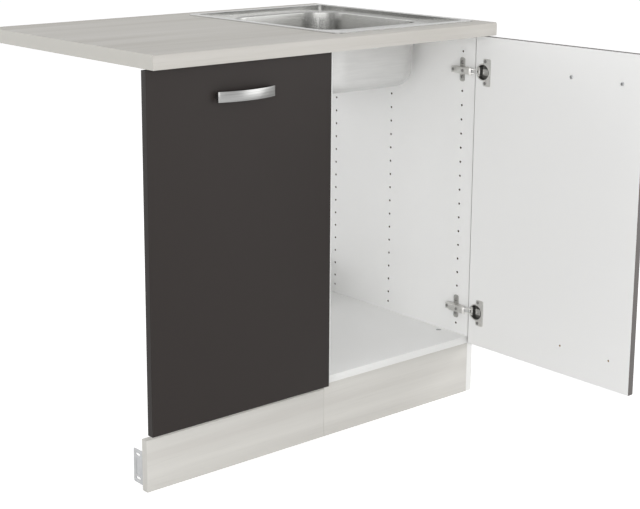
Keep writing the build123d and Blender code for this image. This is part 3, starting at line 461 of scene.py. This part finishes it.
sinkSheet = easedCopy("sink_bowl", "sinkSheet", "cabinet", "stainless", sinkSteel)
# down-facing faces take the lighter, rougher steel: a matte underside with a painted reflection in its colour
setFaces(sinkSheet, undersidePaintedReflection, lambda centre, normal: normal.z < -0.02)
easedCopy("sink_seal", "sinkSeal", "cabinet", "seal_rubber", rubber)
easedCopy("sink_clips", "sinkClips", "cabinet", "bracket_steel", galvanised, easing["clips"])
easedCopy("drain_flange", "strainer", "cabinet", "stainless", sinkSteel)
easedCopy("drain_seal", "drainSeal", "cabinet", "seal_rubber", rubber)
easedCopy("drain_body", "drainBody", "cabinet", "waste_plastic", wastePlastic)
easedCopy("dowels", "dowelPegs", "cabinet", "dowel_wood", beech)
easedCopy("cam_bolts", "camBolts", "cabinet", "screw_zinc", zinc)
easedCopy("worktop_brackets", "worktopBrackets", "cabinet", "bracket_steel", galvanised, easing["clips"])
for side in ("left", "right"):
    easedCopy(f"plinth_bracket_{side}", f"{side}PlinthBracket", "cabinet", "bracket_steel", galvanised,
              easing["clips"])
easedCopy("arm_pins", "armPins", "cabinet", "hinge_nickel", nickel, easing["pins"])
easedCopy("cup_pins", "cupPins", "door", "hinge_nickel", nickel)
easedCopy("door_handle", "doorHandle", "door", "handle_steel", handleSteel, easing["handles"])
easedCopy("bay_handle", "bayHandle", "bay_front", "handle_steel", handleSteel, easing["handles"])
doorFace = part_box("door")[0].x
for level in ("upper", "lower"):
    # the hinge plates take the darker nickel, painted shade
    easedCopy(f"{level}_hinge_plate", f"{level}HingePlate", "cabinet", "hinge_nickel", nickelPaintedShade,
              easing["plates"])
    easedCopy(f"{level}_hinge_arm", f"{level}HingeArm", "cabinet", "hinge_nickel", nickel, easing["arms"])
    easedCopy(f"{level}_hinge_link", f"{level}HingeLink", "hinge_links", "hinge_nickel", nickel,
              easing["links"])
    cup = easedCopy(f"{level}_hinge_cup", f"{level}HingeCup", "door", "hinge_nickel", nickel, easing["cups"])
    # faces inside the cup's pocket take the darker nickel: painted shade for the shadowed hollow
    setFaces(cup, cupPaintedShade, lambda centre, normal: centre.x > doorFace + 0.4 * mm)

# the closing spring's housing in each hinge cup, clear of the link's swing
springShape = {
    "length": 15 * mm, "width": 14 * mm, "top": 4.2 * mm, "bottom": 10.4 * mm, "offset": -0.5 * mm,
    "round": 0.8 * mm, "segments": 3, "angle": 40, "slotInset": 3 * mm, "slotDepth": 1.4 * mm,
}


def springHousing(level):
    cupLow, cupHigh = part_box(f"{level}_hinge_cup")
    depth = springShape["bottom"] - springShape["top"]
    centre = (doorFace + springShape["top"] + depth / 2,
              (cupLow.y + cupHigh.y) / 2 + springShape["offset"], (cupLow.z + cupHigh.z) / 2)
    bpy.ops.object.select_all(action="DESELECT")
    bpy.ops.mesh.primitive_cube_add(
        size=1, location=centre, scale=(depth, springShape["length"], springShape["width"]))
    housing = bpy.context.object
    housing.name = f"{level}SpringHousing"
    bpy.ops.object.transform_apply(location=True, rotation=False, scale=True)
    pickFaces(housing, lambda middle, normal: normal.x < -0.9)  # a sunk panel in its face
    bpy.ops.mesh.inset(thickness=springShape["slotInset"], depth=0)
    bpy.ops.mesh.extrude_region_move(TRANSFORM_OT_translate={"value": (springShape["slotDepth"], 0, 0)})
    doneEditing()
    applied(housing, "BEVEL", width=springShape["round"], segments=springShape["segments"],
            limit_method="ANGLE", angle_limit=math.radians(springShape["angle"]))
    # the darker nickel on the housing is painted shade for its place deep in the cup
    housing.data.materials.append(nickelPaintedShade)
    smooth(housing, springShape["angle"])
    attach(housing, "door")


springHousing("upper")
springHousing("lower")
print("fittings made")


# screws: dome head with a cross recess, modelled once for each node and copied to its places

screwShape = {  # shares of the head's radius, width and height; lengths in mm; turns and angles in degrees
    "sides": 28, "recessReach": 0.56, "recessWidth": 0.17, "recessDepth": 0.62, "recessTaper": 0.6,
    "cutOver": 0.1 * mm, "point": 1.5 * mm, "tip": 0.25, "wall": 0.5, "crownInset": 0.12, "crownRise": 0.28,
    "domeInset": 0.3, "domeRise": 0.2, "headShare": 0.9, "firstTurn": 20, "turnStep": 37, "smoothAngle": 32,
}


def screwPlaces(nodeName):
    loose = copyOfNode(nodeName, "looseScrews")
    editing(loose)
    bpy.ops.mesh.select_all(action="SELECT")
    bpy.ops.mesh.separate(type="LOOSE")
    doneEditing()
    places = []
    for part in list(bpy.context.selected_objects):
        points = [vertex.co.copy() for vertex in part.data.vertices]
        low = Vector([min(point[axis] for point in points) for axis in range(3)])
        high = Vector([max(point[axis] for point in points) for axis in range(3)])
        long = max(range(3), key=lambda axis: (high - low)[axis])
        centre = (low + high) / 2
        reach = {}
        for point in points:
            across = (point - centre)
            across[long] = 0
            end = "high" if point[long] > centre[long] else "low"
            reach[end] = max(reach.get(end, 0), across.length)
        headEnd = "high" if reach["high"] > reach["low"] else "low"
        direction = Vector((0, 0, 0))
        direction[long] = 1 if headEnd == "high" else -1
        headRadius, shankRadius = max(reach.values()), min(reach.values())
        headLevels = []
        for point in points:
            across = point - centre - direction * (point - centre).dot(direction)
            if across.length > screwShape["headShare"] * headRadius:
                headLevels.append(point[long])
        seat = centre.copy()
        seat[long] = min(headLevels) if headEnd == "high" else max(headLevels)
        places.append({
            "seat": seat, "direction": direction, "head": headRadius, "shank": shankRadius,
            "height": max(headLevels) - min(headLevels),
            "reach": (high - low)[long] - (max(headLevels) - min(headLevels)),
        })
        bpy.data.objects.remove(part)
    return places


def crossCutter(head, height):
    width = 2 * screwShape["recessWidth"] * head
    depth = screwShape["recessDepth"] * height
    over = screwShape["cutOver"]
    middle = height - depth / 2 + over
    bpy.ops.mesh.primitive_cube_add(size=1, location=(0, 0, middle), scale=(width, width, depth + 2 * over))
    cutter = bpy.context.object
    bpy.ops.object.transform_apply(location=True, rotation=False, scale=True)
    pickFaces(cutter, lambda centre, normal: abs(normal.z) < 0.5)
    bpy.ops.mesh.extrude_faces_move(
        TRANSFORM_OT_shrink_fatten={"value": screwShape["recessReach"] * head - width / 2})
    doneEditing()
    pickFaces(cutter, lambda centre, normal: normal.z < -0.5)
    taper = screwShape["recessTaper"]
    bpy.ops.transform.resize(value=(taper, taper, 1), center_override=(0, 0, height - depth))
    doneEditing()
    return cutter


def crossScrew(place):
    head, height, shank, reach = place["head"], place["height"], place["shank"], place["reach"]
    point = screwShape["point"]
    straight = reach - point
    bpy.ops.mesh.primitive_cylinder_add(
        vertices=screwShape["sides"], radius=shank, depth=straight, location=(0, 0, -straight / 2))
    screw = bpy.context.object
    bpy.ops.object.transform_apply(location=True, rotation=False, scale=False)
    pickFaces(screw, lambda centre, normal: normal.z < -0.9)  # drawn to a point
    bpy.ops.mesh.extrude_region_move(TRANSFORM_OT_translate={"value": (0, 0, -point)})
    tip = screwShape["tip"]
    bpy.ops.transform.resize(value=(tip, tip, 1), center_override=(0, 0, -reach))
    doneEditing()
    pickFaces(screw, lambda centre, normal: normal.z > 0.9)  # the head grows from the top
    bpy.ops.mesh.extrude_region_move(TRANSFORM_OT_translate={"value": (0, 0, 0)})
    bpy.ops.transform.resize(value=(head / shank, head / shank, 1), center_override=(0, 0, 0))
    bpy.ops.mesh.extrude_region_move(TRANSFORM_OT_translate={"value": (0, 0, screwShape["wall"] * height)})
    bpy.ops.mesh.inset(
        thickness=screwShape["crownInset"] * head, depth=screwShape["crownRise"] * height)
    bpy.ops.mesh.inset(
        thickness=screwShape["domeInset"] * head, depth=screwShape["domeRise"] * height)
    doneEditing()
    cutter = crossCutter(head, height)
    applied(screw, "BOOLEAN", operation="DIFFERENCE", object=cutter, solver="EXACT")
    bpy.data.objects.remove(cutter)
    return screw


def makeScrews(nodeName, pieceName, body, slotName, material):
    places = screwPlaces(nodeName)
    model = crossScrew(places[0])
    copies = []
    for number, place in enumerate(places):
        copy = bpy.data.objects.new(pieceName, model.data.copy())
        bpy.context.scene.collection.objects.link(copy)
        turned = Vector((0, 0, 1)).rotation_difference(place["direction"]).to_matrix().to_4x4()
        turn = math.radians(screwShape["turnStep"] * number + screwShape["firstTurn"])
        twist = Matrix.Rotation(turn, 4, "Z")
        copy.data.transform(Matrix.Translation(place["seat"]) @ turned @ twist)
        copies.append(copy)
    bpy.data.objects.remove(model)
    bpy.ops.object.select_all(action="DESELECT")
    for copy in copies:
        copy.select_set(True)
    bpy.context.view_layer.objects.active = copies[0]
    bpy.ops.object.join()
    screws = bpy.context.object
    screws.name = pieceName
    screws.data.materials.append(material)
    smooth(screws, screwShape["smoothAngle"])
    settle(screws, body, slotName, nodeName)


makeScrews("bracket_screws", "bracketScrews", "cabinet", "screw_zinc", zinc)
# hinge screws take the darker zinc: painted shade for the recesses around them
makeScrews("hinge_plate_screws", "hingePlateScrews", "cabinet", "screw_zinc", hingeScrewPaintedShade)
makeScrews("hinge_arm_screws", "hingeArmScrews", "cabinet", "screw_zinc", hingeScrewPaintedShade)
makeScrews("hinge_cup_screws", "hingeCupScrews", "door", "screw_zinc", hingeScrewPaintedShade)
makeScrews("door_handle_screws", "doorHandleScrews", "door", "screw_zinc", zinc)
makeScrews("bay_handle_screws", "bayHandleScrews", "bay_front", "screw_zinc", zinc)
easedCopy("sink_clip_screws", "sinkClipScrews", "cabinet", "screw_zinc", zinc)
easedCopy("drain_screw", "drainScrew", "cabinet", "stainless", sinkSteel)
easedCopy("cam_fittings", "camFittings", "cabinet", "screw_zinc", zinc)
print("screws made")

# floor, backdrop and light

studio = {
    "floorColour": (236, 236, 236), "floorSize": 60.0, "floorDrop": 0.5 * mm, "floorGlow": 0.52,
    "roomLight": 0.62, "background": 1.0, "aim": (0, 0, 0.42),
    "lamps": {  # place, width and height, power
        "keyLight": ((-2.9, -3.1, 1.15), (4.2, 2.2), 68),
        "frontLight": ((2.8, -2.8, 1.1), (3.0, 2.0), 52),
        "rightLight": ((3.6, -0.5, 1.1), (2.6, 2.0), 12),
        "backLight": ((-1.8, 3.2, 1.5), (4.0, 2.4), 31),
        "topLight": ((-0.3, 0.3, 3.2), (2.4, 2.0), 5),
    },
}


def raysToBackground(nodes, links):  # 1 for the rays that should find a white background
    rays = nodes.new("ShaderNodeLightPath")
    either = nodes.new("ShaderNodeMath")
    either.operation = "MAXIMUM"
    links.new(rays.outputs["Is Camera Ray"], either.inputs[0])
    links.new(rays.outputs["Is Glossy Ray"], either.inputs[1])
    third = nodes.new("ShaderNodeMath")
    third.operation = "MAXIMUM"
    links.new(either.outputs["Value"], third.inputs[0])
    links.new(rays.outputs["Is Transmission Ray"], third.inputs[1])
    return third.outputs["Value"]


bpy.ops.mesh.primitive_plane_add(size=studio["floorSize"], location=(0, 0, -studio["floorDrop"]))
floor = bpy.context.object
floor.name = "studioFloor"
floorMaterial, floorNodes, floorLinks, floorShader = newMaterial("studio floor", 0.9, specular=0.0)
floorShader.inputs["Base Color"].default_value = paint(*studio["floorColour"])
glow = floorNodes.new("ShaderNodeEmission")
glow.inputs["Color"].default_value = (1, 1, 1, 1)
glowLevel = floorNodes.new("ShaderNodeMath")
glowLevel.operation = "MULTIPLY"
glowLevel.inputs[1].default_value = studio["floorGlow"]
floorLinks.new(raysToBackground(floorNodes, floorLinks), glowLevel.inputs[0])
floorLinks.new(glowLevel.outputs["Value"], glow.inputs["Strength"])
floorSum = floorNodes.new("ShaderNodeAddShader")
floorLinks.new(floorShader.outputs["BSDF"], floorSum.inputs[0])
floorLinks.new(glow.outputs["Emission"], floorSum.inputs[1])
floorLinks.new(floorSum.outputs["Shader"], floorNodes["Material Output"].inputs["Surface"])
floor.data.materials.append(floorMaterial)

world = bpy.data.worlds.new("studio")
bpy.context.scene.world = world
world.use_nodes = True
worldNodes, worldLinks = world.node_tree.nodes, world.node_tree.links
worldLevel = worldNodes.new("ShaderNodeMapRange")
worldLevel.inputs["To Min"].default_value = studio["roomLight"]
worldLevel.inputs["To Max"].default_value = studio["background"]
worldLinks.new(raysToBackground(worldNodes, worldLinks), worldLevel.inputs["Value"])
worldLinks.new(worldLevel.outputs["Result"], worldNodes["Background"].inputs["Strength"])
worldNodes["Background"].inputs["Color"].default_value = (1, 1, 1, 1)


for lampName, (place, size, power) in studio["lamps"].items():
    bpy.ops.object.light_add(type="AREA", location=place)
    lamp = bpy.context.object
    lamp.name = lampName
    lamp.data.shape = "RECTANGLE"
    lamp.data.size, lamp.data.size_y = size
    lamp.data.energy = power
    lamp.rotation_euler = (Vector(studio["aim"]) - Vector(place)).to_track_quat("-Z", "Y").to_euler()

# camera: from the left and the front, about as the photograph, and tilted down where the photograph is level

cameraSet = {
    "place": (-2.1451, -2.1821, 1.1692), "turn": -0.6881, "dip": 0.2164, "lens": 82.07, "sensor": 36,
    "shift": (0.07, -0.1),
}

bpy.ops.object.camera_add(
    location=cameraSet["place"], rotation=(math.pi / 2 - cameraSet["dip"], 0, cameraSet["turn"]))
camera = bpy.context.object
camera.data.lens = cameraSet["lens"]
camera.data.sensor_width = cameraSet["sensor"]
camera.data.shift_x, camera.data.shift_y = cameraSet["shift"]
bpy.context.scene.camera = camera
print("studio set")
